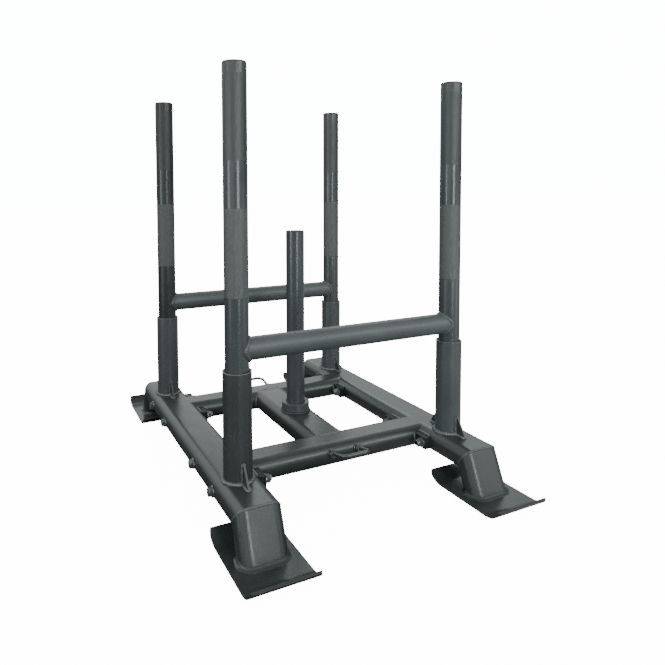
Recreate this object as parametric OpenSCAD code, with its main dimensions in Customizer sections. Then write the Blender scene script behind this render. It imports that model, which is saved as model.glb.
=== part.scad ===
// Weight sled: a base on four skids, two push frames that lift out of their sockets, and a plate
// post that lifts out of its collar. The origin lies on the floor under the centre of the sled,
// +X runs to the right, +Y from the front to the rear and +Z up. All sizes are in millimetres.

/* [Layout] */
// Distance between the axes of the left and right uprights
upright_spacing_x = 548; // [480:1:640]
// Distance between the axes of the front and rear uprights
upright_spacing_y = 560; // [480:1:720]
// Height of the flat top of the rails above the floor
deck_height = 100; // [85:1:140]
// Distance from an upright's axis to the mitred end of the rail's top
rail_overhang = 112; // [90:1:160]
// Angle between a leg and the vertical
leg_lean = 23; // [8:1:30]
// Distance of each cross member's centre line from the middle of the sled
member_offset = 195; // [175:1:225]

/* [Tubes of the base] */
// Width of the side rails and legs
rail_width = 98; // [86:1:120]
// Width of the cross members
member_width = 84; // [70:1:110]
// Width of the centre beam
beam_width = 100; // [84:1:130]
// Height of all the tubes of the base
tube_height = 52; // [50:1:62]
// Outer corner radius of the tubes of the base
tube_corner = 24; // [14:1:25]
// Wall of the tubes of the base
tube_wall = 3; // [2:0.5:5]

/* [Skids] */
// Width of each skid plate
skid_width = 140; // [110:1:180]
// Thickness of each skid plate
skid_thickness = 5; // [4:0.5:10]
// Length of the flat that slides on the floor
skid_flat = 136; // [110:1:200]
// Inner radius of the curved lips at both ends
lip_radius = 40; // [10:1:50]
// Angle that the outer lip curves up by
outer_lip_angle = 60; // [30:1:80]
// Angle that the inner lip curves up by
inner_lip_angle = 60; // [30:1:80]
// Corner radius of the plate, seen from above
skid_corner = 10; // [5:1:30]

/* [Bolted joints] */
// Length of the rail pads and end flanges
flange_length = 160; // [155:1:190]
// Height of the rail pads and end flanges
flange_height = 28; // [26:1:40]
// Thickness of the pad welded to the rail
pad_thickness = 8; // [5:0.5:12]
// Thickness of the flange welded to the cross member
flange_thickness = 8; // [5:0.5:12]
// Distance of each bolt from the cross member's centre line
bolt_offset = 67; // [60:1:70]
// Thread diameter of the bolts
bolt_diameter = 12; // [8:1:14]
// Width across flats of the bolt heads and nuts
bolt_flats = 18; // [15:1:22]
// Height of the bolt heads
head_height = 7.5; // [5:0.5:10]
// Height of the nuts
nut_height = 10; // [6:0.5:14]
// Outer diameter of the washers
washer_diameter = 24; // [20:1:28]
// Thickness of the washers
washer_thickness = 2.5; // [1.5:0.5:4]
// Length of thread that stands out of each nut
thread_end = 4; // [1:0.5:10]

/* [Sockets] */
// Height of the sockets above the rails
socket_height = 222; // [120:1:240]
// Wall of the sockets
socket_wall = 4.5; // [3:0.5:7]
// Radial clearance between an upright and its socket
socket_clearance = 0.6; // [0.3:0.1:1.5]
// Height of the gussets
gusset_height = 42; // [20:1:80]
// Reach of the gussets from the socket
gusset_reach = 30; // [15:1:45]
// Thickness of the gussets
gusset_thickness = 4; // [3:0.5:10]

/* [Push frames] */
// Outer diameter of the uprights
upright_diameter = 50; // [42:0.1:60]
// Height of the top of the uprights above the floor
upright_top = 936; // [700:1:1200]
// Outer diameter of the crossbars
crossbar_diameter = 48.3; // [30:0.1:49]
// Height of the crossbars' axis above the floor
crossbar_height = 364; // [345:1:600]
// Wall of the uprights, the crossbars and the plate post
frame_wall = 3; // [2:0.5:5]

/* [Plate post] */
// Outer diameter of the post, which passes through the bore of a plate
post_diameter = 48.3; // [25:0.1:60]
// Height of the top of the post above the floor
post_top = 580; // [250:1:700]
// Outer diameter of the collar around the post
collar_diameter = 73; // [68:1:90]
// Height of the collar
collar_height = 24; // [10:1:60]
// Radial clearance between the post and its collar
post_clearance = 0.85; // [0.3:0.05:1.5]

/* [End caps] */
// Thickness of the rim of each cap
cap_rim = 3; // [2:0.5:8]
// Depth of each cap's plug inside its tube
cap_plug = 14; // [5:1:40]
// Chamfer around the top of each cap
cap_chamfer = 1.5; // [0.5:0.1:1.8]

/* [Tow loops] */
// Diameter of the bent rod
loop_rod = 8; // [5:0.5:12]
// Distance between the two ends of the rod
loop_width = 70; // [50:1:120]
// Reach of the rod's axis from the cross member
loop_reach = 55; // [40:1:90]
// Radius of the rod's two bends, at its axis
loop_bend = 18; // [12:1:24]
// Angle that the loop is tilted up by
loop_tilt = 15; // [0:1:40]
// Sideways shift of the loops, the front one to the right and the rear one to the left
loop_shift = 8; // [-30:1:30]
// Diameter of the bosses around the rod's ends
boss_diameter = 18; // [14:1:26]
// Length of the bosses
boss_length = 10; // [5:1:16]

/* [Hidden] */
$fn = 96;

// Gap left at welded seams between curved faces
weld_gap = 0.1;
// Gap under what rests in a socket or collar
seat_gap = 0.3;
// Gap around a bolt in its nut, and around a plug in its tube
fit_gap = 0.1;
// Extra diameter of a bolt hole over its bolt
hole_margin = 1;
// Chamfer of the sockets, collar, bosses, bolts and nuts
edge_chamfer = 1;
// Width of the blunt tip and toe of each gusset
gusset_tip = 4;
// Length of the blocks that trim tubes, longer than the sled
beyond = 2000;

rail_x = upright_spacing_x / 2;
upright_y = upright_spacing_y / 2;
rail_end = upright_y + rail_overhang;
rail_side = rail_width / 2;
tube_axis_z = deck_height - tube_height / 2;
mitre_tilt = (90 - leg_lean) / 2;
leg_stock = (deck_height + tube_height) / cos(leg_lean);

leg_foot_outer = rail_end + (deck_height - skid_thickness) * tan(leg_lean);
skid_middle = leg_foot_outer - tube_height / cos(leg_lean) / 2;
lip_outer_radius = lip_radius + skid_thickness;

pad_face = rail_x - rail_side - pad_thickness;
flange_face = pad_face - flange_thickness;
bolt_hole = bolt_diameter + hole_margin;
head_face = rail_x + rail_side + washer_thickness;
nut_face = flange_face - washer_thickness;
bolt_end = nut_face - nut_height - thread_end;

socket_bore = upright_diameter / 2 + socket_clearance;
socket_radius = socket_bore + socket_wall;
collar_bore = post_diameter / 2 + post_clearance;
post_seat = deck_height - tube_height + tube_wall + seat_gap;
loop_axis_y = member_offset + member_width / 2 - tube_corner;
loop_axis_z = deck_height - tube_corner;

frame_paint = [0.30, 0.33, 0.34];
base_paint = [0.36, 0.39, 0.40];
skid_paint = [0.24, 0.26, 0.27];
fastener_steel = [0.52, 0.54, 0.55];
cap_plastic = [0.13, 0.14, 0.15];

// Sections and stock

// Rectangle with round corners, centred
module rounded_rectangle(width, height, corner) {
    square([width - 2 * corner, height], center = true);
    square([width, height - 2 * corner], center = true);
    for (x = [-1, 1], y = [-1, 1])
        translate([x * (width / 2 - corner), y * (height / 2 - corner)])
            circle(r = corner);
}

// Outline of a tube of the base, grown all round by a gap
module tube_outline(width, gap = 0) {
    rounded_rectangle(width + 2 * gap, tube_height + 2 * gap, tube_corner + gap);
}

// Wall of a tube of the base
module tube_section(width) {
    difference() {
        tube_outline(width);
        tube_outline(width, -tube_wall);
    }
}

// Stretches a section along X, its width along Y, with its flat top at deck height
module along_x(half_length) {
    translate([-half_length, 0, tube_axis_z])
        rotate([90, 0, 90])
            linear_extrude(2 * half_length)
                children();
}

// Stretches a section along Y, its width along X, with its flat top at deck height
module along_y(half_length) {
    translate([0, half_length, tube_axis_z])
        rotate([90, 0, 0])
            linear_extrude(2 * half_length)
                children();
}

// Round tube standing on the local origin
module round_tube(diameter, wall, height) {
    difference() {
        cylinder(d = diameter, h = height);
        translate([0, 0, -height])
            cylinder(d = diameter - 2 * wall, h = 3 * height);
    }
}

// Turned ring with chamfered top edges, standing on the local origin
module turned_ring(bore, radius, height) {
    rotate_extrude()
        polygon([
            [bore, 0],
            [radius, 0],
            [radius, height - edge_chamfer],
            [radius - edge_chamfer, height],
            [bore + edge_chamfer, height],
            [bore, height - edge_chamfer]
        ]);
}

// Hexagon prism along +Z with its far corners turned off
module hexagon(flats, height) {
    corners = flats / cos(30);
    intersection() {
        cylinder(d = corners, h = height, $fn = 6);
        union() {
            cylinder(d = corners, h = height - edge_chamfer);
            translate([0, 0, height - edge_chamfer])
                cylinder(d1 = corners, d2 = corners - 3 * edge_chamfer, h = edge_chamfer);
        }
    }
}

// Places a piece made for the rear right corner at any corner
module at_corner(side_x, side_y) {
    mirror([side_x < 0 ? 1 : 0, 0, 0])
        mirror([0, side_y < 0 ? 1 : 0, 0])
            children();
}

// All the space past the mitre plane at the rear end of the rails
module past_mitre() {
    translate([0, rail_end, deck_height])
        rotate([-mitre_tilt, 0, 0])
            translate([-beyond / 2, 0, -beyond / 2])
                cube(beyond);
}

// All the space before that mitre plane
module before_mitre() {
    translate([0, rail_end, deck_height])
        rotate([-mitre_tilt, 0, 0])
            translate([-beyond / 2, -beyond, -beyond / 2])
                cube(beyond);
}

// Base

// Right rail, hollow, mitred at both ends and drilled across for the flange bolts
module rail() {
    color(base_paint)
        difference() {
            translate([rail_x, 0, 0])
                along_y(rail_end)
                    tube_section(rail_width);
            for (end = [0, 1])
                mirror([0, end, 0])
                    past_mitre();
            for (y = bolt_rows())
                translate([rail_x, y, tube_axis_z])
                    rotate([0, 90, 0])
                        cylinder(d = bolt_hole, h = 2 * rail_width, center = true);
        }
}

// Places of the bolts along a rail
function bolt_rows() = [
    for (member = [-1, 1], row = [-1, 1]) member * member_offset + row * bolt_offset
];

// Leg at the rear right corner, the same tube as the rail, cut level on its skid
module leg() {
    color(base_paint)
        difference() {
            translate([rail_x, rail_end, deck_height])
                rotate([leg_lean, 0, 0])
                    translate([0, -tube_height / 2, -leg_stock])
                        linear_extrude(leg_stock)
                            tube_section(rail_width);
            before_mitre();
            translate([-beyond / 2, -beyond / 2, skid_thickness - beyond])
                cube(beyond);
        }
}

// Side view of a lip that curves up from the local origin towards +X
module lip_profile(angle) {
    translate([0, lip_outer_radius])
        intersection() {
            difference() {
                circle(r = lip_outer_radius);
                circle(r = lip_radius);
            }
            polygon([
                [0, 0],
                [0, -2 * lip_outer_radius],
                [2 * lip_outer_radius * tan(angle), -2 * lip_outer_radius]
            ]);
        }
}

// Skid plate under the rear right leg, with a curved lip at each end
module skid() {
    inner_run = lip_outer_radius * sin(inner_lip_angle);
    outer_run = lip_outer_radius * sin(outer_lip_angle);
    plan_length = skid_flat + inner_run + outer_run;
    color(skid_paint)
        intersection() {
            translate([rail_x - skid_width / 2, skid_middle, 0])
                rotate([90, 0, 90])
                    linear_extrude(skid_width) {
                        translate([-skid_flat / 2, 0])
                            square([skid_flat, skid_thickness]);
                        translate([skid_flat / 2, 0])
                            lip_profile(outer_lip_angle);
                        mirror([1, 0])
                            translate([skid_flat / 2, 0])
                                lip_profile(inner_lip_angle);
                    }
            translate([rail_x, skid_middle + (outer_run - inner_run) / 2, -lip_outer_radius])
                linear_extrude(3 * lip_outer_radius)
                    rounded_rectangle(skid_width, plan_length, skid_corner);
        }
}

// Rear cross member, coped to the round sides of both rails and notched over the pads and flanges
module cross_member() {
    color(base_paint)
        difference() {
            translate([0, member_offset, 0])
                along_x(rail_x - rail_side + tube_corner)
                    tube_section(member_width);
            for (side = [-1, 1]) {
                translate([side * rail_x, 0, 0])
                    along_y(rail_end)
                        tube_outline(rail_width, weld_gap);
                translate([side * (flange_face + rail_side), member_offset, tube_axis_z])
                    cube([rail_width, flange_length, flange_height + 2 * weld_gap], center = true);
            }
        }
}

// Centre beam, coped to the cross members, with a hole in its top wall for the plate post
module centre_beam() {
    color(base_paint)
        difference() {
            along_y(member_offset - member_width / 2 + tube_corner)
                tube_section(beam_width);
            for (end = [-1, 1])
                translate([0, end * member_offset, 0])
                    along_x(rail_x)
                        tube_outline(member_width, weld_gap);
            translate([0, 0, tube_axis_z])
                cylinder(r = collar_bore, h = tube_height);
        }
}

// Flat bar with two bolt holes, its outer face at a distance from the middle of the sled
module drilled_bar(inner_face, thickness) {
    difference() {
        translate([
            inner_face,
            member_offset - flange_length / 2,
            tube_axis_z - flange_height / 2
        ])
            cube([thickness, flange_length, flange_height]);
        for (row = [-1, 1])
            translate([inner_face, member_offset + row * bolt_offset, tube_axis_z])
                rotate([0, 90, 0])
                    cylinder(d = bolt_hole, h = 4 * thickness, center = true);
    }
}

// Pad welded along the inner side of the rail
module rail_pad() {
    color(base_paint)
        drilled_bar(pad_face, pad_thickness);
}

// Flange welded to the end of the cross member
module end_flange() {
    color(base_paint)
        drilled_bar(flange_face, flange_thickness);
}

// Places a piece at each bolt, pointing outwards along X from a distance to the middle
module at_bolts(distance) {
    for (side = [0, 1], y = bolt_rows())
        mirror([side, 0, 0])
            translate([distance, y, tube_axis_z])
                rotate([0, 90, 0])
                    children();
}

module flange_bolts() {
    color(fastener_steel)
        at_bolts(head_face) {
            hexagon(bolt_flats, head_height);
            mirror([0, 0, 1])
                cylinder(d = bolt_diameter, h = head_face - bolt_end);
        }
}

module flange_washers() {
    color(fastener_steel) {
        at_bolts(head_face - washer_thickness)
            washer();
        at_bolts(nut_face)
            washer();
    }
}

module washer() {
    difference() {
        cylinder(d = washer_diameter, h = washer_thickness);
        translate([0, 0, -washer_thickness])
            cylinder(d = bolt_hole, h = 3 * washer_thickness);
    }
}

module flange_nuts() {
    color(fastener_steel)
        at_bolts(nut_face)
            mirror([0, 0, 1])
                difference() {
                    hexagon(bolt_flats, nut_height);
                    translate([0, 0, -nut_height])
                        cylinder(d = bolt_diameter + 2 * fit_gap, h = 3 * nut_height);
                }
}

// Socket of the rear right upright, standing on the rail
module socket() {
    color(base_paint)
        translate([rail_x, upright_y, deck_height])
            turned_ring(socket_bore, socket_radius, socket_height);
}

// Two gussets of the rear right socket, in line with the rail
module gussets() {
    color(base_paint)
        translate([rail_x, upright_y, deck_height])
            difference() {
                for (turn = [-90, 90])
                    rotate([0, 0, turn])
                        rotate([90, 0, 0])
                            linear_extrude(gusset_thickness, center = true)
                                polygon([
                                    [socket_bore, 0],
                                    [socket_radius + gusset_reach, 0],
                                    [socket_radius + gusset_reach, gusset_tip / 2],
                                    [socket_radius + gusset_tip, gusset_height],
                                    [socket_bore, gusset_height]
                                ]);
                translate([0, 0, -gusset_height])
                    cylinder(r = socket_radius + weld_gap, h = 3 * gusset_height);
            }
}

module post_collar() {
    color(base_paint)
        translate([0, 0, deck_height])
            turned_ring(collar_bore, collar_diameter / 2, collar_height);
}

// Places the front loop's pieces, which run outwards along local -Y from the cross member's bend
module at_front_member() {
    translate([loop_shift, -loop_axis_y, loop_axis_z])
        rotate([-loop_tilt, 0, 0])
            children();
}

// One end of the rod, along local -Y from the surface of the cross member to the bend
module loop_leg() {
    translate([0, -tube_corner - weld_gap, 0])
        rotate([90, 0, 0])
            cylinder(d = loop_rod, h = loop_reach - loop_bend);
}

// One quarter bend of the rod, from the end of the right leg inwards
module loop_corner() {
    rotate_extrude(angle = 90)
        translate([loop_bend, 0])
            circle(d = loop_rod);
}

module tow_loop() {
    half = loop_width / 2;
    bend_y = -tube_corner - weld_gap - loop_reach + loop_bend;
    color(frame_paint)
        at_front_member()
            for (side = [0, 1])
                mirror([side, 0, 0]) {
                    translate([half, 0, 0])
                        loop_leg();
                    translate([half - loop_bend, bend_y, 0])
                        mirror([0, 1, 0])
                            loop_corner();
                    translate([0, bend_y - loop_bend, 0])
                        rotate([0, 90, 0])
                            cylinder(d = loop_rod, h = half - loop_bend);
                }
}

// Bosses around the rod's ends, coped to the side of the cross member
module loop_bosses() {
    color(frame_paint)
        difference() {
            at_front_member()
                for (side = [-1, 1])
                    translate([side * loop_width / 2, -tube_corner / 2, 0])
                        rotate([90, 0, 0])
                            turned_ring(
                                loop_rod / 2 + fit_gap,
                                boss_diameter / 2,
                                tube_corner / 2 + boss_length
                            );
            translate([0, -member_offset, 0])
                along_x(rail_x)
                    tube_outline(member_width, weld_gap);
        }
}

// Push frames

// Rear right upright, open at the bottom, where it stands on the rail inside its socket
module upright() {
    foot = deck_height + seat_gap;
    color(frame_paint)
        translate([rail_x, upright_y, foot])
            round_tube(upright_diameter, frame_wall, upright_top - cap_rim - foot);
}

// Rear crossbar, coped to both uprights
module crossbar() {
    color(frame_paint)
        difference() {
            translate([-rail_x, upright_y, crossbar_height])
                rotate([0, 90, 0])
                    round_tube(crossbar_diameter, frame_wall, upright_spacing_x);
            for (side = [-1, 1])
                translate([side * rail_x, upright_y, 0])
                    cylinder(d = upright_diameter + 2 * weld_gap, h = upright_top);
        }
}

// Cap with a chamfered rim on the end of a tube and a plug inside it
module tube_cap(diameter) {
    plug = diameter / 2 - frame_wall - fit_gap;
    color(cap_plastic)
        rotate_extrude()
            polygon([
                [0, -cap_plug],
                [plug, -cap_plug],
                [plug, 0],
                [diameter / 2, 0],
                [diameter / 2, cap_rim - cap_chamfer],
                [diameter / 2 - cap_chamfer, cap_rim],
                [0, cap_rim]
            ]);
}

module upright_cap() {
    translate([rail_x, upright_y, upright_top - cap_rim])
        tube_cap(upright_diameter);
}

// Plate post

// Post that stands on the bottom wall of the centre beam, inside the collar
module plate_post() {
    color(frame_paint)
        translate([0, 0, post_seat])
            round_tube(post_diameter, frame_wall, post_top - cap_rim - post_seat);
}

module plate_post_cap() {
    translate([0, 0, post_top - cap_rim])
        tube_cap(post_diameter);
}

// Drawing

at_corner(-1, 1) rail();  // left_rail
rail();  // right_rail

at_corner(-1, -1) leg();  // front_left_leg
at_corner(1, -1) leg();  // front_right_leg
at_corner(-1, 1) leg();  // rear_left_leg
leg();  // rear_right_leg

at_corner(-1, -1) skid();  // front_left_skid
at_corner(1, -1) skid();  // front_right_skid
at_corner(-1, 1) skid();  // rear_left_skid
skid();  // rear_right_skid

at_corner(1, -1) cross_member();  // front_cross_member
cross_member();  // rear_cross_member
centre_beam();

at_corner(-1, -1) rail_pad();  // front_left_rail_pad
at_corner(1, -1) rail_pad();  // front_right_rail_pad
at_corner(-1, 1) rail_pad();  // rear_left_rail_pad
rail_pad();  // rear_right_rail_pad

at_corner(-1, -1) end_flange();  // front_left_end_flange
at_corner(1, -1) end_flange();  // front_right_end_flange
at_corner(-1, 1) end_flange();  // rear_left_end_flange
end_flange();  // rear_right_end_flange

flange_bolts();
flange_washers();
flange_nuts();

at_corner(-1, -1) socket();  // front_left_socket
at_corner(1, -1) socket();  // front_right_socket
at_corner(-1, 1) socket();  // rear_left_socket
socket();  // rear_right_socket

at_corner(-1, -1) gussets();  // front_left_gussets
at_corner(1, -1) gussets();  // front_right_gussets
at_corner(-1, 1) gussets();  // rear_left_gussets
gussets();  // rear_right_gussets

post_collar();

tow_loop();  // front_tow_loop
rotate([0, 0, 180]) tow_loop();  // rear_tow_loop
loop_bosses();  // front_loop_bosses
rotate([0, 0, 180]) loop_bosses();  // rear_loop_bosses

at_corner(-1, -1) upright();  // front_left_upright
at_corner(1, -1) upright();  // front_right_upright
at_corner(1, -1) crossbar();  // front_crossbar
at_corner(-1, -1) upright_cap();  // front_left_cap
at_corner(1, -1) upright_cap();  // front_right_cap

at_corner(-1, 1) upright();  // rear_left_upright
upright();  // rear_right_upright
crossbar();  // rear_crossbar
at_corner(-1, 1) upright_cap();  // rear_left_cap
upright_cap();  // rear_right_cap

plate_post();
plate_post_cap();
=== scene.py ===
import math
import random

import bpy
import bmesh
from mathutils import Matrix, Vector


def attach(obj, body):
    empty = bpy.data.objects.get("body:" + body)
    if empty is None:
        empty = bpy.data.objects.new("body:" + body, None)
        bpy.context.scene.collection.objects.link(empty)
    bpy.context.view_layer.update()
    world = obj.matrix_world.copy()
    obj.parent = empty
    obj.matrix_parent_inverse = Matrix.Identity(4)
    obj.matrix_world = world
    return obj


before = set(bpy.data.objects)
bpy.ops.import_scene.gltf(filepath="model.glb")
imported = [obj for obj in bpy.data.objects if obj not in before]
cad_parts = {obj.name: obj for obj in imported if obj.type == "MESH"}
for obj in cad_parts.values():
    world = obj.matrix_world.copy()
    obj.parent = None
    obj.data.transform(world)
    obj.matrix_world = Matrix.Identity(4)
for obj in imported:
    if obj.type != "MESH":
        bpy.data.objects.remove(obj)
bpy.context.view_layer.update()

# Sizes of the sled, in metres, as the solids have them
RAIL_X = 0.274
UPRIGHT_Y = 0.280
DECK_Z = 0.100
RAIL_END = 0.392
LEG_LEAN = math.radians(23)
MITRE_TILT = math.radians(33.5)
MEMBER_Y = 0.195

RAIL_HALF = 0.049
MEMBER_HALF = 0.042
BEAM_HALF = 0.050
TUBE_HALF = 0.026
TUBE_CORNER = 0.024
TUBE_Z = DECK_Z - TUBE_HALF

SKID_TOP = 0.005
FOOT_Y = 0.4041
PAD_FACE = 0.217
PAD_THICKNESS = 0.008
FLANGE_FACE = 0.209
BAR_HALF_LENGTH = 0.080
BAR_HALF_HEIGHT = 0.014
BOLT_OFFSET = 0.067
BOLT_RADIUS = 0.006
NUT_END = 0.1965
BOLT_END = 0.1925

SOCKET_RADIUS = 0.0301
SOCKET_TOP = 0.322
GUSSET_HALF = 0.002
GUSSET_REACH = 0.030
GUSSET_TOP = DECK_Z + 0.042
COLLAR_RADIUS = 0.0365

UPRIGHT_RADIUS = 0.025
CROSSBAR_RADIUS = 0.02415
CROSSBAR_Z = 0.364

LOOP_SHIFT = 0.008
LOOP_HALF = 0.035
LOOP_TILT = math.radians(15)
LOOP_AXIS_Y = MEMBER_Y + MEMBER_HALF - TUBE_CORNER
LOOP_AXIS_Z = DECK_Z - TUBE_CORNER
BOSS_RADIUS = 0.009
BOSS_END = 0.034
LOOP_ROD = 0.004

# Heights of the two knurled zones on each upright, lower one first
GRIPS = ((0.472, 0.649), (0.743, 0.912))

# Radius of each weld bead, in metres, and the legs' fillets
SOCKET_BEAD = 0.0050
GUSSET_FOOT_BEAD = 0.0034
GUSSET_BACK_BEAD = 0.0026
GUSSET_TOE_BEAD = 0.0032
GUSSET_TOP_BEAD = 0.0030
MITRE_BEAD = 0.0030
FLANGE_BEAD = 0.0029
PAD_BEAD = 0.0030
BEAM_BEAD = 0.0024
COLLAR_BEAD = 0.0028
BOSS_BEAD = 0.0016
ROD_BEAD = 0.0011
RIM_BEAD = 0.0015
CROSSBAR_BEAD = 0.0048
FILLET_WIDTH = 0.0068
FILLET_HEIGHT = 0.0064

# How far a bead's centre line stands off a flat face, and off the wall of a round tube
OFF_FLAT = 0.0006
OFF_TUBE = 0.0008

CORNERS = {
    "front_left": (-1, -1),
    "front_right": (1, -1),
    "rear_left": (-1, 1),
    "rear_right": (1, 1),
}
ENDS = {"front": -1, "rear": 1}


# Node helpers

COLUMN_WIDTH = 180
SHADER_COLUMN = (4200, 0)
OUTPUT_COLUMN = (4600, 0)


class Web:
    """Nodes of one material or group, laid out from left to right as they are made."""

    def __init__(self, tree):
        self.tree = tree
        self.column = 0

    def link(self, source, target):
        self.tree.links.new(source, target)

    def node(self, kind, values=None, **settings):
        """A node whose inputs take plain values, or links from other nodes' outputs."""
        made = self.tree.nodes.new(kind)
        made.location = (self.column * COLUMN_WIDTH, 0)
        self.column += 1
        for name, value in settings.items():
            setattr(made, name, value)
        for socket, value in (values or {}).items():
            if isinstance(value, bpy.types.NodeSocket):
                self.link(value, made.inputs[socket])
            else:
                made.inputs[socket].default_value = value
        return made

    def place(self):
        """Where a point lies in its own piece."""
        return self.node("ShaderNodeTexCoord").outputs["Object"]

    def normal(self):
        return self.node("ShaderNodeNewGeometry").outputs["Normal"]

    def seen(self):
        """One for what the camera looks at straight, nought for all that it lights."""
        return self.node("ShaderNodeLightPath").outputs["Is Camera Ray"]

    def parts(self, vector):
        """The X, Y and Z of a vector."""
        return self.node("ShaderNodeSeparateXYZ", {0: vector}).outputs

    def stretched(self, place, x=1.0, y=1.0, z=1.0):
        made = self.node("ShaderNodeVectorMath", {0: place, 1: (x, y, z)}, operation="MULTIPLY")
        return made.outputs["Vector"]

    def math(self, operation, first, second=0.0, clamp=False):
        made = self.node("ShaderNodeMath", {0: first, 1: second}, operation=operation, use_clamp=clamp)
        return made.outputs[0]

    def plus(self, first, second):
        return self.math("ADD", first, second)

    def times(self, first, second, clamp=False):
        return self.math("MULTIPLY", first, second, clamp)

    def span(self, value, low, high, to_low=0.0, to_high=1.0):
        """How far a value has come from low to high, given as to_low to to_high."""
        made = self.node(
            "ShaderNodeMapRange",
            {"Value": value, "From Min": low, "From Max": high, "To Min": to_low, "To Max": to_high},
        )
        return made.outputs["Result"]

    def blend(self, amount, first, second):
        """A tone between two others, each a link or its red, green and blue."""
        made = self.node("ShaderNodeMix", data_type="RGBA")
        inputs = {socket.name: socket for socket in made.inputs if socket.enabled}
        self.link(amount, inputs["Factor"])
        for name, tone in (("A", first), ("B", second)):
            if isinstance(tone, bpy.types.NodeSocket):
                self.link(tone, inputs[name])
            else:
                inputs[name].default_value = (*tone, 1)
        return [socket for socket in made.outputs if socket.enabled][0]

    def noise(self, place, scale, detail, roughness, distortion=0.0):
        made = self.node(
            "ShaderNodeTexNoise",
            {"Vector": place, "Scale": scale, "Detail": detail, "Roughness": roughness,
             "Distortion": distortion},
        )
        return made.outputs["Fac"]

    def effect(self, group, values=None):
        """The outputs of a shared effect, placed with its own values."""
        return self.node("ShaderNodeGroup", values, node_tree=group).outputs

    def bump(self, shader, height, strength, distance, under=None):
        """Relief on the shader's normal, laid over an earlier bump where one is given."""
        values = {"Strength": strength, "Distance": distance, "Height": height}
        made = self.node("ShaderNodeBump", values)
        if under is not None:
            self.link(under, made.inputs["Normal"])
        self.link(made.outputs["Normal"], shader.inputs["Normal"])
        return made.outputs["Normal"]


def node_group(name, inputs, outputs):
    """A shader node group with float inputs of given values, and outputs by name."""
    group = bpy.data.node_groups.new(name, "ShaderNodeTree")
    for label, value in inputs.items():
        socket = group.interface.new_socket(label, in_out="INPUT", socket_type="NodeSocketFloat")
        socket.default_value = value
    for label in outputs:
        group.interface.new_socket(label, in_out="OUTPUT", socket_type="NodeSocketFloat")
    web = Web(group)
    given = web.node("NodeGroupInput").outputs
    end = group.nodes.new("NodeGroupOutput")
    end.location = OUTPUT_COLUMN
    return group, web, given, end.inputs


# Shared effects

def make_powder_coat():
    """Fine orange peel of sprayed powder, with cloudy changes of tone."""
    group, web, given, result = node_group(
        "powder_coat", {"Peel Scale": 420.0, "Cloud Scale": 9.0}, ("Height", "Tone", "Speckle")
    )
    fine_share = 0.25
    place = web.place()
    peel = web.noise(place, given["Peel Scale"], detail=2.0, roughness=0.5)
    fine = web.noise(place, scale=1500.0, detail=2.0, roughness=0.6)
    height = web.plus(web.times(peel, 1 - fine_share), web.times(fine, fine_share))
    web.link(height, result["Height"])
    cloud = web.noise(place, given["Cloud Scale"], detail=5.0, roughness=0.6)
    web.link(web.span(cloud, low=0.3, high=0.7), result["Tone"])
    speckle = web.noise(place, scale=900.0, detail=1.0, roughness=0.5)
    web.link(web.span(speckle, low=0.62, high=0.78), result["Speckle"])
    return group


def make_edge_wear():
    """Where an outside edge is rubbed: the bevelled normal leaves the true one there."""
    group, web, given, result = node_group(
        "edge_wear", {"Reach": 0.0012, "Amount": 0.6, "Break Scale": 60.0}, ("Wear",)
    )
    bevel = web.node("ShaderNodeBevel", {"Radius": given["Reach"]}, samples=6)
    normals = {0: bevel.outputs["Normal"], 1: web.normal()}
    closeness = web.node("ShaderNodeVectorMath", normals, operation="DOT_PRODUCT").outputs["Value"]
    edge = web.span(closeness, low=0.99, high=0.86)
    broken = web.noise(web.place(), given["Break Scale"], detail=4.0, roughness=0.65)
    broken = web.span(broken, low=0.38, high=0.62)
    web.link(web.times(web.times(edge, broken), given["Amount"], clamp=True), result["Wear"])
    return group


def make_shop_dust():
    """Thin dust that settles on faces that look up."""
    group, web, given, result = node_group("shop_dust", {"Amount": 0.25}, ("Dust",))
    upward = web.parts(web.normal())["Z"]
    patches = web.noise(web.place(), scale=22.0, detail=6.0, roughness=0.65)
    patches = web.span(patches, low=0.35, high=0.75)
    facing = web.span(upward, low=0.55, high=0.98)
    web.link(web.times(web.times(facing, patches), given["Amount"]), result["Dust"])
    return group


def make_hand_marks():
    """Faint smears and fine scratches from handling and loading plates."""
    group, web, given, result = node_group(
        "hand_marks", {"Smear Scale": 14.0, "Scratch Scale": 90.0}, ("Smear", "Scratch")
    )
    place = web.place()
    smear = web.noise(web.stretched(place, z=0.35), given["Smear Scale"], detail=6.0, roughness=0.7)
    web.link(web.span(smear, low=0.42, high=0.7), result["Smear"])
    thin = web.noise(
        web.stretched(place, y=0.09, z=0.6), given["Scratch Scale"], detail=6.0, roughness=0.75,
        distortion=0.8,
    )
    line = web.math("ABSOLUTE", web.math("SUBTRACT", thin, 0.5))
    rare = web.span(web.noise(place, scale=7.0, detail=2.0, roughness=0.5), low=0.52, high=0.66)
    web.link(web.times(web.span(line, low=0.006, high=0.001), rare), result["Scratch"])
    return group


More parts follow.
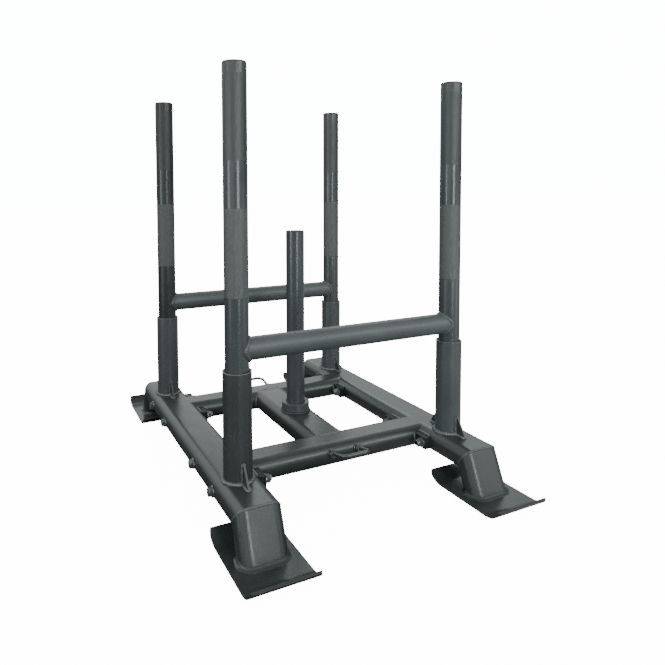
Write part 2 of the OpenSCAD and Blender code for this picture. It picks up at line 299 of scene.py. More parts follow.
def make_knurl():
    """Diamond knurl around each upright, in its two grip zones."""
    group, web, given, result = node_group(
        "grip_knurl", {"Pitch": 0.0022, "Upper Depth": 0.6}, ("Height", "Depth")
    )
    lead_slope = 0.6
    zone_edge = 0.0006
    parts = web.parts(web.place())
    across = web.math("SUBTRACT", web.math("ABSOLUTE", parts["X"]), RAIL_X)
    along = web.math("SUBTRACT", web.math("ABSOLUTE", parts["Y"]), UPRIGHT_Y)
    around = web.times(web.math("ARCTAN2", along, across), UPRIGHT_RADIUS)
    height = parts["Z"]
    grooves = []
    for turn in ("ADD", "SUBTRACT"):
        lead = web.math(turn, around, web.times(height, lead_slope))
        grooves.append(web.math("PINGPONG", web.math("DIVIDE", lead, given["Pitch"]), 0.5))
    diamond = web.times(web.math("MINIMUM", *grooves), 2.0)
    zones = []
    for low, high in GRIPS:
        rising = web.span(height, low - zone_edge, low + zone_edge)
        falling = web.span(height, high + zone_edge, high - zone_edge)
        zones.append(web.times(rising, falling))
    lower_zone, upper_zone = zones
    depth = web.math("MAXIMUM", lower_zone, web.times(upper_zone, given["Upper Depth"]))
    web.link(web.times(diamond, depth), result["Height"])
    web.link(depth, result["Depth"])
    return group


POWDER_COAT = make_powder_coat()
EDGE_WEAR = make_edge_wear()
SHOP_DUST = make_shop_dust()
HAND_MARKS = make_hand_marks()
GRIP_KNURL = make_knurl()


# Materials, with their tones as red, green and blue

DUST_TONE = (0.15, 0.155, 0.155)
# Painted shade laid over the knurled zones of the uprights
KNURL_SHADE_TONE = (0.011, 0.0128, 0.0133)


def new_material(name):
    """A material with its shader and output in place, and the web that its nodes go into."""
    material = bpy.data.materials.new(name)
    material.use_nodes = True
    material.node_tree.nodes.clear()
    web = Web(material.node_tree)
    shader = web.tree.nodes.new("ShaderNodeBsdfPrincipled")
    shader.location = SHADER_COLUMN
    output = web.tree.nodes.new("ShaderNodeOutputMaterial")
    output.location = OUTPUT_COLUMN
    web.link(shader.outputs["BSDF"], output.inputs["Surface"])
    return material, web, shader


def painted(name, dark, light, rubbed, roughness, shine, wear, dust, peel=0.25, knurled=False):
    """Satin powder coat: cloudy tone, rubbed edges, dust on top, smears in the gloss."""
    speckle_share, scratch_share = 0.25, 0.35
    cloud_rough, smear_rough, dust_rough, knurl_rough = 0.05, 0.07, 0.5, 0.11
    knurl_shade_share = 0.8
    material, web, shader = new_material(name)
    coat = web.effect(POWDER_COAT)
    worn = web.effect(EDGE_WEAR, {"Amount": wear})["Wear"]
    dusty = web.effect(SHOP_DUST, {"Amount": dust})["Dust"]
    marks = web.effect(HAND_MARKS)
    tone = web.blend(coat["Tone"], dark, light)
    tone = web.blend(web.times(coat["Speckle"], speckle_share), tone, rubbed)
    tone = web.blend(web.times(marks["Scratch"], scratch_share), tone, rubbed)
    tone = web.blend(worn, tone, rubbed)
    tone = web.blend(dusty, tone, DUST_TONE)
    rough = web.plus(roughness, web.times(coat["Tone"], cloud_rough))
    rough = web.plus(rough, web.times(marks["Smear"], smear_rough))
    rough = web.plus(rough, web.times(dusty, dust_rough))
    if knurled:
        knurl = web.effect(GRIP_KNURL)
        rough = web.plus(rough, web.times(knurl["Depth"], knurl_rough))
        # Painted shade: each knurled zone is darkened toward the knurl shade tone, less on the upper
        # grip, standing in for the shade in the knurl's grooves
        tone = web.blend(web.times(knurl["Depth"], knurl_shade_share), tone, KNURL_SHADE_TONE)
        # Partly hand wear and partly a painted sheen: knurl crests are lightened toward the rubbed tone,
        # far more on the lower grip, standing in for the light the knurl scatters and the lower grip
        # catches
        handled_and_lit = web.span(knurl["Depth"], low=0.5, high=1.0, to_low=0.05, to_high=0.9)
        crest = web.times(web.span(knurl["Height"], low=0.1, high=0.8), handled_and_lit)
        tone = web.blend(crest, tone, rubbed)
    grain = web.bump(shader, coat["Height"], strength=peel, distance=0.0003)
    if knurled:
        web.bump(shader, knurl["Height"], strength=0.4, distance=0.0006, under=grain)
    web.link(tone, shader.inputs["Base Color"])
    web.link(rough, shader.inputs["Roughness"])
    shader.inputs["Specular IOR Level"].default_value = shine
    return material


def skid_coat():
    """The darker coat of the skids, scraped along the way they slide."""
    dark, light = (0.020, 0.023, 0.0242), (0.029, 0.033, 0.0342)
    bare_steel, dust_tone = (0.13, 0.133, 0.133), (0.13, 0.135, 0.135)
    plain_rough, cloud_rough, dust_rough = 0.22, 0.06, 0.5
    bare_share, metal_share = 0.8, 0.85
    material, web, shader = new_material("skid_coat")
    coat = web.effect(POWDER_COAT, {"Cloud Scale": 14.0})
    worn = web.effect(EDGE_WEAR, {"Amount": 0.9, "Break Scale": 45.0})["Wear"]
    dusty = web.effect(SHOP_DUST, {"Amount": 0.1})["Dust"]
    place = web.place()
    downward = web.span(web.parts(web.normal())["Z"], low=-0.35, high=-0.9)
    scrapes = web.noise(web.stretched(place, y=0.03), scale=260.0, detail=6.0, roughness=0.7)
    scraped = web.times(downward, web.span(scrapes, low=0.42, high=0.6))
    tone = web.blend(coat["Tone"], dark, light)
    bare = web.math("MAXIMUM", web.times(scraped, bare_share), worn)
    tone = web.blend(bare, tone, bare_steel)
    web.link(web.blend(dusty, tone, dust_tone), shader.inputs["Base Color"])
    rough = web.plus(plain_rough, web.times(coat["Tone"], cloud_rough))
    web.link(web.plus(rough, web.times(dusty, dust_rough)), shader.inputs["Roughness"])
    web.link(web.times(scraped, metal_share), shader.inputs["Metallic"])
    shader.inputs["Specular IOR Level"].default_value = 0.45
    grain = web.bump(shader, coat["Height"], strength=0.25, distance=0.0003)
    web.bump(shader, scraped, strength=0.3, distance=0.0002, under=grain)
    return material


def cap_plastic():
    """Moulded black plug with a spark-eroded face."""
    dark, light, rubbed = (0.010, 0.011, 0.012), (0.017, 0.018, 0.019), (0.12, 0.125, 0.125)
    plain_rough, cloud_rough = 0.46, 0.12
    material, web, shader = new_material("cap_plastic")
    place = web.place()
    sparks = web.noise(place, scale=1300.0, detail=3.0, roughness=0.6)
    cloud = web.span(web.noise(place, scale=30.0, detail=4.0, roughness=0.6), low=0.35, high=0.65)
    worn = web.effect(EDGE_WEAR, {"Amount": 0.35, "Reach": 0.0008})["Wear"]
    tone = web.blend(cloud, dark, light)
    web.link(web.blend(worn, tone, rubbed), shader.inputs["Base Color"])
    web.link(web.plus(plain_rough, web.times(cloud, cloud_rough)), shader.inputs["Roughness"])
    web.bump(shader, sparks, strength=0.3, distance=0.0003)
    return material


def blackened_steel():
    """Bolts, nuts and washers: black oxide, rubbed to bright steel on the corners."""
    dark, light, rubbed = (0.13, 0.135, 0.138), (0.25, 0.256, 0.26), (0.55, 0.55, 0.54)
    material, web, shader = new_material("blackened_steel")
    place = web.place()
    worn = web.effect(EDGE_WEAR, {"Amount": 1.0, "Reach": 0.0011, "Break Scale": 160.0})["Wear"]
    oxide = web.span(web.noise(place, scale=70.0, detail=5.0, roughness=0.65), low=0.35, high=0.7)
    turned = web.noise(web.stretched(place, y=0.15, z=0.15), scale=1400.0, detail=2.0, roughness=0.5)
    tone = web.blend(oxide, dark, light)
    web.link(web.blend(worn, tone, rubbed), shader.inputs["Base Color"])
    rough = web.span(oxide, low=0.0, high=1.0, to_low=0.26, to_high=0.40)
    web.link(rough, shader.inputs["Roughness"])
    metal = web.span(worn, low=0.0, high=1.0, to_low=0.75, to_high=1.0)
    web.link(metal, shader.inputs["Metallic"])
    web.bump(shader, turned, strength=0.12, distance=0.0002)
    return material


BASE_COAT = painted(
    "base_coat", dark=(0.020, 0.0235, 0.0245), light=(0.028, 0.032, 0.033),
    rubbed=(0.10, 0.105, 0.106), roughness=0.25, shine=0.5, wear=0.45, dust=0.06,
)
# A shaded copy of the base coat: painted darker for the shade on the legs, their foot fillets and the
# collar weld
SHADED_LEG_COAT = painted(
    "shaded_leg_coat", dark=(0.0165, 0.0192, 0.020), light=(0.023, 0.0265, 0.0275),
    rubbed=(0.12, 0.126, 0.126), roughness=0.27, shine=0.46, wear=0.45, dust=0.05,
)
SOCKET_COAT = painted(
    "socket_coat", dark=(0.019, 0.022, 0.0228), light=(0.027, 0.031, 0.0322),
    rubbed=(0.20, 0.205, 0.205), roughness=0.34, shine=0.45, wear=1.0, dust=0.06,
)
# A lit copy of the socket coat: painted lighter for the light on three sockets and the post collar,
# while the front-left socket keeps the darker socket coat
LIT_SOCKET_COAT = painted(
    "lit_socket_coat", dark=(0.037, 0.0425, 0.044), light=(0.050, 0.0565, 0.058),
    rubbed=(0.20, 0.205, 0.205), roughness=0.32, shine=0.5, wear=1.0, dust=0.06,
)
GRIP_COAT = painted(
    "grip_coat", dark=(0.034, 0.039, 0.0402), light=(0.045, 0.051, 0.0525),
    rubbed=(0.16, 0.167, 0.167), roughness=0.22, shine=0.5, wear=0.4, dust=0.05, knurled=True,
)
# A shaded copy of the grip coat: painted darker for the shade on the rear-left upright
SHADED_GRIP_COAT = painted(
    "shaded_grip_coat", dark=(0.018, 0.0207, 0.0213), light=(0.024, 0.0272, 0.028),
    rubbed=(0.16, 0.167, 0.167), roughness=0.22, shine=0.4, wear=0.4, dust=0.05, knurled=True,
)
POST_COAT = painted(
    "post_coat", dark=(0.036, 0.0414, 0.0428), light=(0.047, 0.0535, 0.0553),
    rubbed=(0.10, 0.105, 0.105), roughness=0.21, shine=0.5, wear=0.4, dust=0.08,
)
# A lit copy of the push frame's coat, painted lighter for the light on the crossbars and their welds; on
# the mitre seams it paints a soft highlight along the crease
LIT_SATIN_COAT = painted(
    "lit_satin_coat", dark=(0.052, 0.059, 0.0608), light=(0.068, 0.076, 0.0785),
    rubbed=(0.14, 0.146, 0.146), roughness=0.34, shine=0.4, wear=0.4, dust=0.05,
)
# A shaded copy of the base coat: painted near black for the shade the rail pads and end flanges sit in
SHADED_BAR_COAT = painted(
    "shaded_bar_coat", dark=(0.012, 0.014, 0.0148), light=(0.018, 0.0205, 0.0215),
    rubbed=(0.14, 0.145, 0.145), roughness=0.34, shine=0.06, wear=0.7, dust=0.02,
)
# Lighter than the coat around the welds: a painted highlight on the beads
WELD_HIGHLIGHT_COAT = painted(
    "weld_highlight_coat", dark=(0.052, 0.057, 0.059), light=(0.092, 0.099, 0.101),
    rubbed=(0.20, 0.205, 0.205), roughness=0.22, shine=0.6, wear=0.6, dust=0.05, peel=0.15,
)
# Partly wear and partly a painted highlight: the socket lips are lighter than the sockets
RIM_WEAR_AND_HIGHLIGHT_COAT = painted(
    "rim_wear_and_highlight_coat", dark=(0.055, 0.060, 0.062), light=(0.085, 0.090, 0.092),
    rubbed=(0.24, 0.245, 0.245), roughness=0.24, shine=0.6, wear=0.8, dust=0.05, peel=0.15,
)
# Lighter than the base coat: a painted highlight for the glints on the tow loops and their bosses
LIT_LOOP_COAT = painted(
    "lit_loop_coat", dark=(0.030, 0.033, 0.035), light=(0.048, 0.052, 0.054),
    rubbed=(0.22, 0.225, 0.225), roughness=0.15, shine=0.7, wear=0.8, dust=0.05, peel=0.12,
)
SKID_COAT = skid_coat()
CAP_PLASTIC = cap_plastic()
BLACKENED_STEEL = blackened_steel()

# The finish of a piece by its whole name, or else by the end of its name
# Lit and shaded copies of a coat paint light and shade onto some of these pieces
FINISH_BY_NAME = {
    "rear_left_upright": SHADED_GRIP_COAT,
    "plate_post": POST_COAT,
    "post_collar": LIT_SOCKET_COAT,
    "front_right_socket": LIT_SOCKET_COAT,
    "rear_left_socket": LIT_SOCKET_COAT,
    "rear_right_socket": LIT_SOCKET_COAT,
    "flange_bolts": BLACKENED_STEEL,
    "flange_washers": BLACKENED_STEEL,
    "flange_nuts": BLACKENED_STEEL,
}
FINISH_BY_ENDING = {
    "_skid": SKID_COAT,
    "_cap": CAP_PLASTIC,
    "_upright": GRIP_COAT,
    "_leg": SHADED_LEG_COAT,
    "_crossbar": LIT_SATIN_COAT,
    "_tow_loop": LIT_LOOP_COAT,
    "_loop_bosses": LIT_LOOP_COAT,
    "_rail_pad": SHADED_BAR_COAT,
    "_end_flange": SHADED_BAR_COAT,
    "_socket": SOCKET_COAT,
}


def finish_for(node):
    """The material of a solid. Rails, beams, cross members and gussets have the base's coat."""
    if node in FINISH_BY_NAME:
        return FINISH_BY_NAME[node]
    for ending, material in FINISH_BY_ENDING.items():
        if node.endswith(ending):
            return material
    return BASE_COAT


for name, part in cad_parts.items():
    part.data.materials.clear()
    part.data.materials.append(finish_for(name))


# Paths of the welds

def rounded_section(half_width, half_height, corner, step=0.002, fewest=6):
    """Points around a tube's section, counter-clockwise, with the outward direction of each."""
    flat_u = half_width - corner
    flat_v = half_height - corner
    steps = max(fewest, int(corner * math.pi / 2 / step))
    around = []
    for turn, (su, sv) in enumerate(((1, 1), (-1, 1), (-1, -1), (1, -1))):
        for i in range(steps + 1):
            angle = math.pi / 2 * (turn + i / steps)
            out = (math.cos(angle), math.sin(angle))
            around.append(((su * flat_u + corner * out[0], sv * flat_v + corner * out[1]), out))
    return around


def arc_rise(offset, flat_half):
    """How far a tube's rounded side stands out, at an offset from the middle of its flat."""
    past = max(0.0, abs(offset) - flat_half)
    return math.sqrt(max(0.0, TUBE_CORNER ** 2 - past ** 2))


def tube_top(half_width, offset):
    """Height of a tube's upper surface at a distance from its centre line."""
    return DECK_Z - TUBE_CORNER + arc_rise(offset, half_width - TUBE_CORNER)


def side_reach(half_width, rise):
    """How far a tube's side lies from its centre line at a height from its middle."""
    return half_width - TUBE_CORNER + arc_rise(rise, TUBE_HALF - TUBE_CORNER)


def circle_of(radius, count):
    """Points around a circle, one at a time."""
    for i in range(count):
        angle = 2 * math.pi * i / count
        yield radius * math.cos(angle), radius * math.sin(angle)


def evenly(points, step, closed=False, fewest=4, tiny=1e-9):
    """The same path with points at an even spacing."""
    points = [Vector(p) for p in points]
    if closed:
        points.append(points[0].copy())
    lengths = [0.0]
    for first, second in zip(points, points[1:]):
        lengths.append(lengths[-1] + (second - first).length)
    count = max(fewest, int(round(lengths[-1] / step)))
    placed, at = [], 0
    for i in range(count if closed else count + 1):
        goal = lengths[-1] * i / count
        while at < len(lengths) - 2 and lengths[at + 1] < goal:
            at += 1
        run = lengths[at + 1] - lengths[at]
        share = (goal - lengths[at]) / run if run > tiny else 0.0
        placed.append(points[at].lerp(points[at + 1], min(1.0, share)))
    return placed


def piece_from(name, shape, material):
    """A piece in the scene from a finished shape, in one material."""
    data = bpy.data.meshes.new(name)
    shape.to_mesh(data)
    shape.free()
    data.materials.append(material)
    piece = bpy.data.objects.new(name, data)
    bpy.context.scene.collection.objects.link(piece)
    return piece


class WeldBuilder:
    """Collects rippled beads into one mesh. Lengths are in metres, waves in radians a metre."""

    RING = 8
    STEP = 0.0009
    RIPPLE = 0.0034
    RIPPLE_BOW = 0.22
    RIPPLE_MIDDLE = 0.6
    QUICK_WAVE, SLOW_WAVE = 310, 97
    QUICK_SWAY, SLOW_SWAY = 0.5, 0.4
    WANDER_TURN = 6.28
    BLUNT_END = 0.12

    # The fillets' profile is given as shares of their width and height
    FILLET_STEP = STEP * 1.5
    FILLET_QUICK_WAVE, FILLET_SLOW_WAVE = 240, 83
    FILLET_QUICK_SWAY, FILLET_SLOW_SWAY = 0.10, 0.07
    FILLET_LAG = 1.0
    FILLET_RIPPLE = 0.05
    FILLET_PROFILE = ((-0.3, 1.0), (0.04, 0.96), (0.12, 0.62), (0.27, 0.34), (0.52, 0.14), (0.86, 0.03),
                      (1.0, -0.1), (-0.3, -0.1))

    def __init__(self, seed):
        self.mesh = bmesh.new()
        self.chance = random.Random(seed)

    def crest(self, phase):
        """Height of a ripple, from nought in its trough to one on its crest."""
        return 1.0 - abs(2 * (phase % 1.0) - 1.0) ** 2

    def bead(self, path, radius, closed=False, ripple=0.16):
        """A bead along a path, with crescent ripples and a slightly unsteady width."""
        points = evenly(path, self.STEP, closed)
        count = len(points)
        wander = self.chance.random() * self.WANDER_TURN
        side = None
        rings = []
        for i, point in enumerate(points):
            before = points[(i - 1) % count] if closed or i else point
            after = points[(i + 1) % count] if closed or i < count - 1 else point
            ahead = (after - before).normalized()
            if side is None:
                side = ahead.orthogonal().normalized()
            side = (side - ahead * side.dot(ahead)).normalized()
            other = ahead.cross(side)
            travelled = i * self.STEP
            quick = math.sin(travelled * self.QUICK_WAVE + wander)
            slow = math.sin(travelled * self.SLOW_WAVE)
            swell = 1.0 + ripple * (self.QUICK_SWAY * quick + self.SLOW_SWAY * slow)
            if not closed:
                ends = min(i, count - 1 - i) * self.STEP / radius
                swell *= math.sqrt(min(1.0, self.BLUNT_END + ends))
            ring = []
            for k in range(self.RING):
                turn = 2 * math.pi * k / self.RING
                crest = self.crest(travelled / self.RIPPLE + self.RIPPLE_BOW * math.cos(turn))
                width = radius * swell * (1.0 + ripple * (crest - self.RIPPLE_MIDDLE))
                out = side * math.cos(turn) * width + other * math.sin(turn) * width
                ring.append(self.mesh.verts.new(point + out))
            rings.append(ring)
        if closed:
            self.close_ring(rings[-1], rings[0])
        for first, second in zip(rings, rings[1:]):
            self.skin(first, second)
        if not closed:
            self.mesh.faces.new(rings[0][::-1])
            self.mesh.faces.new(rings[-1])

    def fillet(self, seats, lean, width, height):
        """A hollow fillet around a leaning leg, from (point on the plate, way out) pairs."""
        places = evenly([seat for seat, out in seats], self.FILLET_STEP, closed=True)
        rings = []
        for i, place in enumerate(places):
            nearest = min(seats, key=lambda pair: (Vector(pair[0]) - place).length)
            out = Vector((*nearest[1], 0.0)).normalized()
            travelled = i * self.FILLET_STEP
            quick = math.sin(travelled * self.FILLET_QUICK_WAVE)
            slow = math.sin(travelled * self.FILLET_SLOW_WAVE + self.FILLET_LAG)
            swell = 1.0 + self.FILLET_QUICK_SWAY * quick + self.FILLET_SLOW_SWAY * slow
            crest = self.crest(travelled / self.RIPPLE)
            ripple = 1.0 + self.FILLET_RIPPLE * (crest - self.RIPPLE_MIDDLE)
            ring = []
            for away, up in self.FILLET_PROFILE:
                rise = up * height * swell * ripple
                reach = away * width * swell
                ring.append(self.mesh.verts.new(place + out * reach + Vector((0, -lean * rise, rise))))
            rings.append(ring)
        for first, second in zip(rings, rings[1:] + rings[:1]):
            self.skin(first, second)

    def close_ring(self, last, first):
        """The last ring meets the first, turned by as much as the frame has turned."""
        start = first[0].co
        shift = min(range(self.RING), key=lambda k: (last[k].co - start).length)
        turned = last[shift:] + last[:shift]
        self.skin(turned, first)

    def skin(self, first, second):
        for k in range(self.RING):
            after = (k + 1) % self.RING
            self.mesh.faces.new((first[k], first[after], second[after], second[k]))

    def finish(self, name, body, material=WELD_HIGHLIGHT_COAT):
        """Makes the beads a smooth piece of their own, which moves with a body."""
        bmesh.ops.recalc_face_normals(self.mesh, faces=self.mesh.faces)
        piece = piece_from(name, self.mesh, material)
        for face in piece.data.polygons:
            face.use_smooth = True
        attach(piece, body)


# Welds of the base

def weld_sockets():
    """A broad rippled bead around each socket's foot, over the rail's rounded top."""
    for corner, (sx, sy) in CORNERS.items():
        welds = WeldBuilder(f"socket {corner}")
        around = [(sx * RAIL_X + x, sy * UPRIGHT_Y + y, tube_top(RAIL_HALF, x) + OFF_FLAT)
                  for x, y in circle_of(SOCKET_RADIUS + OFF_TUBE, count=180)]
        welds.bead(around, SOCKET_BEAD, closed=True, ripple=0.28)
        welds.finish(f"{corner}_socket_weld", "base")


def round_socket_rims():
    """The turned lip round each socket's mouth: rubbed by the upright going in, and a painted highlight.
    """
    inset = 0.0012
    for corner, (sx, sy) in CORNERS.items():
        lip = WeldBuilder(f"rim {corner}")
        around = [(sx * RAIL_X + x, sy * UPRIGHT_Y + y, SOCKET_TOP - OFF_FLAT)
                  for x, y in circle_of(SOCKET_RADIUS - inset, count=200)]
        lip.bead(around, RIM_BEAD, closed=True, ripple=0.02)
        lip.finish(f"{corner}_socket_rim", "base", RIM_WEAR_AND_HIGHLIGHT_COAT)


def weld_gussets():
    """Beads on both sides of each gusset's foot and back, and across its toe and top."""
    start = SOCKET_RADIUS
    toe = SOCKET_RADIUS + GUSSET_REACH
    foot_start, back_gap, back_start = start + 0.002, 0.0002, DECK_Z + 0.003
    toe_gap, top_gap = 0.0004, 0.0016
    for corner, (sx, sy) in CORNERS.items():
        welds = WeldBuilder(f"gusset {corner}")
        middle, y = sx * RAIL_X, sy * UPRIGHT_Y
        for way in (-1, 1):
            for side in (-1, 1):
                x = middle + side * (GUSSET_HALF + OFF_FLAT)
                foot = [(x, y + way * reach, DECK_Z + OFF_FLAT) for reach in (foot_start, toe)]
                back = [(x, y + way * (start + back_gap), height) for height in (back_start, GUSSET_TOP)]
                welds.bead(foot, GUSSET_FOOT_BEAD, ripple=0.22)
                welds.bead(back, GUSSET_BACK_BEAD)
            for reach, height, radius in (
                (toe + toe_gap, DECK_Z + OFF_FLAT, GUSSET_TOE_BEAD),
                (start + top_gap, GUSSET_TOP, GUSSET_TOP_BEAD),
            ):
                across = [(middle + side * GUSSET_HALF, y + way * reach, height) for side in (-1, 1)]
                welds.bead(across, radius)
        welds.finish(f"{corner}_gusset_welds", "base")


def fillet_legs():
    """Broad fillets at the feet and flush seams where the legs meet the rails."""
    lift = 0.0002
    sunk = 0.0024
    section = rounded_section(RAIL_HALF, TUBE_HALF, TUBE_CORNER)
    for corner, (sx, sy) in CORNERS.items():
        fillet = WeldBuilder(f"leg {corner}")
        seats = [((sx * (RAIL_X + u), sy * (FOOT_Y + v / math.cos(LEG_LEAN)), SKID_TOP + lift),
                  (sx * out[0], sy * out[1])) for (u, v), out in section]
        fillet.fillet(seats, sy * math.tan(LEG_LEAN), FILLET_WIDTH, FILLET_HEIGHT)
        # The foot fillets take the legs' darker coat, painted shade
        fillet.finish(f"{corner}_leg_fillet", "base", SHADED_LEG_COAT)
        seam = WeldBuilder(f"mitre {corner}")
        mitre = [(
            sx * (RAIL_X + u - out[0] * sunk),
            sy * (RAIL_END + (v - TUBE_HALF) * math.tan(MITRE_TILT) - OFF_FLAT),
            TUBE_Z + v - out[1] * sunk,
        ) for (u, v), out in section]
        seam.bead(mitre, MITRE_BEAD, closed=True, ripple=0.03)
        # The seam's lighter coat is a painted highlight along the mitre's rounded crease
        seam.finish(f"{corner}_mitre_seam", "base", LIT_SATIN_COAT)


def weld_flanges():
    """Beads between cross member and flange, and along the pads where they meet the rails."""
    steps = 20
    off_side = 0.0007
    face = FLANGE_FACE - OFF_TUBE
    seam_start, seam_end = MEMBER_HALF - 0.012, BAR_HALF_LENGTH - 0.004
    for corner, (sx, sy) in CORNERS.items():
        welds = WeldBuilder(f"flange {corner}")
        for side in (-1, 1):
            run = []
            for i in range(steps + 1):
                rise = -BAR_HALF_HEIGHT + 2 * BAR_HALF_HEIGHT * i / steps
                reach = side_reach(MEMBER_HALF, rise) + off_side
                run.append((sx * face, sy * (MEMBER_Y + side * reach), TUBE_Z + rise))
            welds.bead(run, FLANGE_BEAD)
            for level in (-1, 1):
                rise = level * BAR_HALF_HEIGHT
                x = (PAD_FACE + PAD_THICKNESS + RAIL_X - side_reach(RAIL_HALF, rise)) / 2
                seam = [(sx * x, sy * (MEMBER_Y + side * far), TUBE_Z + rise + level * OFF_FLAT)
                        for far in (seam_start, seam_end)]
                welds.bead(seam, PAD_BEAD)
        welds.finish(f"{corner}_flange_welds", "base")


def weld_beam():
    """A bead around each end of the centre beam, where it meets a cross member."""
    sunk = 0.0011
    section = rounded_section(BEAM_HALF, TUBE_HALF, TUBE_CORNER)
    for label, end in ENDS.items():
        welds = WeldBuilder(f"beam {label}")
        around = []
        for (u, v), out in section:
            y = MEMBER_Y - side_reach(MEMBER_HALF, v)
            around.append((u + out[0] * OFF_FLAT, end * (y - OFF_FLAT), TUBE_Z + v - out[1] * sunk))
        welds.bead(around, BEAM_BEAD, closed=True)
        welds.finish(f"{label}_beam_weld", "base")


def weld_collar():
    """A bead around the collar's foot, over the centre beam's rounded top."""
    lift = 0.0010
    welds = WeldBuilder("collar")
    around = [(x, y, tube_top(BEAM_HALF, x) + lift)
              for x, y in circle_of(COLLAR_RADIUS + OFF_TUBE, count=220)]
    welds.bead(around, COLLAR_BEAD, closed=True)
    # The collar weld takes the legs' darker coat, painted shade that hides a bright bead line
    welds.finish("collar_weld", "base", SHADED_LEG_COAT)


def loop_point(side_x, out_y, up_z):
    """A point given in the front loop's own frame: across, outwards and square to both."""
    tilt = Matrix.Rotation(-LOOP_TILT, 3, "X")
    return Vector((LOOP_SHIFT, -LOOP_AXIS_Y, LOOP_AXIS_Z)) + tilt @ Vector((side_x, -out_y, up_z))


def weld_loops():
    """Beads at each boss's foot and where the rod leaves it. The rear loop is the front one turned."""
    off_boss, off_rod, off_mouth = 0.0003, 0.0004, 0.0001
    turned = Matrix.Rotation(math.pi, 3, "Z")
    for label in ENDS:
        welds = WeldBuilder(f"loop {label}")
        for side in (-1, 1):
            middle = side * LOOP_HALF
            foot = [loop_point(middle + x, math.sqrt(TUBE_CORNER ** 2 - z * z), z)
                    for x, z in circle_of(BOSS_RADIUS + off_boss, count=60)]
            mouth = [loop_point(middle + x, BOSS_END + off_mouth, z)
                     for x, z in circle_of(LOOP_ROD + off_rod, count=40)]
            for ring, radius in ((foot, BOSS_BEAD), (mouth, ROD_BEAD)):
                if label == "rear":
                    ring = [turned @ point for point in ring]
                welds.bead(ring, radius, closed=True)
        welds.finish(f"{label}_loop_welds", "base", LIT_LOOP_COAT)


# Welds of the push frames

def weld_crossbars():
    """A bead around each end of a crossbar, along the wall of the upright."""
    inset = 0.0012
    off_upright = 0.0002
    for label, sy in ENDS.items():
        welds = WeldBuilder(f"crossbar {label}")
        for side in (-1, 1):
            around = []
            for y, z in circle_of(CROSSBAR_RADIUS - inset, count=150):
                bite = min(abs(y), UPRIGHT_RADIUS)
                out = math.sqrt(UPRIGHT_RADIUS ** 2 - bite ** 2) + off_upright
                around.append((side * (RAIL_X - out), sy * UPRIGHT_Y + y, CROSSBAR_Z + z))
            welds.bead(around, CROSSBAR_BEAD, closed=True, ripple=0.08)
        # The crossbar welds are painted as light as the lit crossbars
        welds.finish(f"{label}_crossbar_welds", f"{label}_push_frame", LIT_SATIN_COAT)


# Threads of the bolts, past their nuts

def thread_bolts():
    """Turned thread crests around each bolt end, as rings on the plain shaft."""
    pitch, crest = 0.00175, 0.00045
    root = BOLT_RADIUS + 0.0001
    end_radius = BOLT_RADIUS - 0.0008
    ring_points = 28
    rings_per_turn = 8
    length = NUT_END - BOLT_END
    steps = int(length / pitch * rings_per_turn)
    thread = bmesh.new()
    for sx, sy in CORNERS.values():
        for row in (-1, 1):
            y = sy * MEMBER_Y + row * BOLT_OFFSET
            rings = []
            for i in range(steps + 1):
                x = NUT_END - length * i / steps
                ring = []
                for k in range(ring_points):
                    turn = 2 * math.pi * k / ring_points
                    phase = (i / rings_per_turn + k / ring_points) % 1.0
                    out = root + crest * (1 - abs(2 * phase - 1)) if i < steps else end_radius
                    around = (sx * x, y + out * math.cos(turn), TUBE_Z + out * math.sin(turn))
                    ring.append(thread.verts.new(around))
                rings.append(ring)
            for first, second in zip(rings, rings[1:]):
                for k in range(ring_points):
                    after = (k + 1) % ring_points
                    thread.faces.new((first[k], first[after], second[after], second[k]))
            thread.faces.new(rings[0])
            thread.faces.new(rings[-1])
    bmesh.ops.recalc_face_normals(thread, faces=thread.faces)
    piece = piece_from("bolt_threads", thread, BLACKENED_STEEL)
    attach(piece, "base")


weld_sockets()
round_socket_rims()
weld_gussets()
fillet_legs()
weld_flanges()
weld_beam()
weld_collar()
weld_loops()
weld_crossbars()
thread_bolts()


# Floor, light and camera

BACKDROP_GLOW = 15.0
FLOOR_GLOW = 14.0
FLOOR_POOL_GLOW = 0.45
FLOOR_HALF = 30.0
FLOOR_STRIPS = 12
ROOM_LOW = 0.58
ROOM_BAND = 1.08
ROOM_TINT = (0.95, 1.0, 1.0, 1)
LAMP_TINT = (0.93, 1.0, 1.0)


def pale_floor():
    """Pale paper that the camera sees bright, though it throws little light back up; a painted pool of
    light glows on its right part.
    """
    paper_dark, paper_light, unseen = (0.80, 0.805, 0.805), (0.83, 0.833, 0.833), (0.03, 0.03, 0.03)
    plain_rough, cloud_rough = 0.75, 0.06
    material, web, shader = new_material("pale_floor")
    place = web.place()
    seen = web.seen()
    cloud = web.span(web.noise(place, scale=1.4, detail=4.0, roughness=0.5), low=0.35, high=0.65)
    paper = web.blend(cloud, paper_dark, paper_light)
    web.link(web.blend(seen, unseen, paper), shader.inputs["Base Color"])
    web.link(web.plus(plain_rough, web.times(cloud, cloud_rough)), shader.inputs["Roughness"])
    # A painted pool of light: the floor's right part glows for every ray and lights the sled's right
    # side
    right_light_pool = web.span(web.parts(place)["X"], low=-0.05, high=0.55, to_high=FLOOR_POOL_GLOW)
    glow = web.math("MAXIMUM", right_light_pool, web.times(seen, FLOOR_GLOW))
    web.link(glow, shader.inputs["Emission Strength"])
    shader.inputs["Emission Color"].default_value = (1.0, 1.0, 1.0, 1)
    shader.inputs["Specular IOR Level"].default_value = 0.1
    fibres = web.noise(place, scale=240.0, detail=3.0, roughness=0.5)
    web.bump(shader, fibres, strength=0.05, distance=0.0005)
    return material


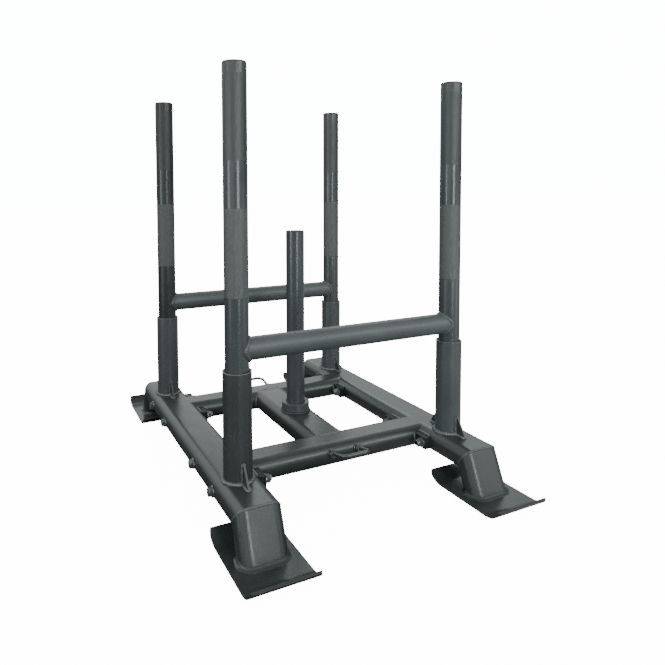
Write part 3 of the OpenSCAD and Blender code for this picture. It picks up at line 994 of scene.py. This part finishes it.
def build_stage():
    """A wide flat floor sheet, in strips that stay even under the light."""
    sheet = bmesh.new()
    rows = []
    for i in range(FLOOR_STRIPS + 1):
        y = FLOOR_HALF * (2 * i / FLOOR_STRIPS - 1)
        rows.append([sheet.verts.new((x, y, 0.0)) for x in (-FLOOR_HALF, FLOOR_HALF)])
    for first, second in zip(rows, rows[1:]):
        sheet.faces.new((first[0], first[1], second[1], second[0]))
    floor = piece_from("floor_sheet", sheet, pale_floor())


def softbox(name, place, target, width, height, power):
    """A rectangular lamp that faces its target, with its power in watts."""
    data = bpy.data.lights.new(name, "AREA")
    data.shape = "RECTANGLE"
    data.size = width
    data.size_y = height
    data.energy = power
    data.color = LAMP_TINT
    lamp = bpy.data.objects.new(name, data)
    lamp.location = place
    lamp.rotation_euler = (Vector(target) - Vector(place)).to_track_quat("-Z", "Y").to_euler()
    bpy.context.scene.collection.objects.link(lamp)


def light_room():
    """White to the camera. The sled sees a soft band half way up the walls, dimmer on the right."""
    world = bpy.data.worlds.new("studio")
    world.use_nodes = True
    back = world.node_tree.nodes["Background"]
    back.inputs["Color"].default_value = ROOM_TINT
    web = Web(world.node_tree)
    seen = web.seen()
    way = web.parts(web.node("ShaderNodeTexCoord").outputs["Generated"])
    rising = web.span(way["Z"], low=0.10, high=0.40)
    falling = web.span(way["Z"], low=0.88, high=0.58)
    right_wall = web.span(way["X"], low=0.35, high=0.95, to_low=1.0, to_high=0.3)
    frontward = web.span(way["Y"], low=0.3, high=-0.7, to_low=1.0, to_high=1.5)
    band = web.times(web.times(rising, falling), frontward)
    room = web.times(web.plus(ROOM_LOW, web.times(band, ROOM_BAND)), right_wall)
    glow = web.math("MAXIMUM", room, web.times(seen, BACKDROP_GLOW))
    web.link(glow, back.inputs["Strength"])
    bpy.context.scene.world = world


def set_lamps():
    """A key from behind, two tall windows, a strip high in front, and two soft fills."""
    softbox("key_behind", place=(2.0, 2.6, 2.6), target=(0.0, 0.0, 0.3),
            width=2.4, height=1.6, power=17)
    softbox("left_window", place=(-3.4, -0.7, 0.68), target=(0.0, 0.0, 0.6),
            width=0.75, height=1.35, power=27)
    softbox("front_window", place=(0.0, -3.6, 0.68), target=(0.0, 0.0, 0.6),
            width=0.58, height=1.35, power=39)
    softbox("front_strip", place=(2.35, -3.95, 2.05), target=(0.1, -0.1, 0.25),
            width=3.0, height=0.8, power=41)
    softbox("right_bounce", place=(1.15, -1.25, 0.35), target=(0.27, -0.28, 0.22),
            width=0.7, height=0.6, power=2)
    softbox("left_fill", place=(-2.9, -2.5, 0.8), target=(0.1, 0.0, 0.3),
            width=1.9, height=1.4, power=10)


# Place and view of the camera, fitted to the photograph
CAMERA_PLACE = (-0.6803, -1.3415, 0.6791)
CAMERA_YAW = math.radians(24.99)
CAMERA_PITCH = math.radians(3.21)
CAMERA_ROLL = math.radians(-0.34)
FRAME_PIXELS = 665
FOCAL_PIXELS = 571.34
CENTRE_PIXELS = (275.94, 225.01)
SENSOR = 36.0


def set_camera():
    """The photograph's view: its lens and centre in pixels, its place in metres."""
    data = bpy.data.cameras.new("photo_view")
    data.sensor_fit = "HORIZONTAL"
    data.sensor_width = SENSOR
    data.lens = FOCAL_PIXELS * SENSOR / FRAME_PIXELS
    data.shift_x = (FRAME_PIXELS / 2 - CENTRE_PIXELS[0]) / FRAME_PIXELS
    data.shift_y = (CENTRE_PIXELS[1] - FRAME_PIXELS / 2) / FRAME_PIXELS
    camera = bpy.data.objects.new("photo_view", data)
    level = Matrix.Rotation(math.pi / 2 - CAMERA_PITCH, 4, "X")
    turn = Matrix.Rotation(-CAMERA_YAW, 4, "Z")
    roll = Matrix.Rotation(CAMERA_ROLL, 4, "Z")
    camera.matrix_world = Matrix.Translation(CAMERA_PLACE) @ turn @ level @ roll
    bpy.context.scene.collection.objects.link(camera)
    bpy.context.scene.camera = camera


build_stage()
light_room()
set_lamps()
set_camera()
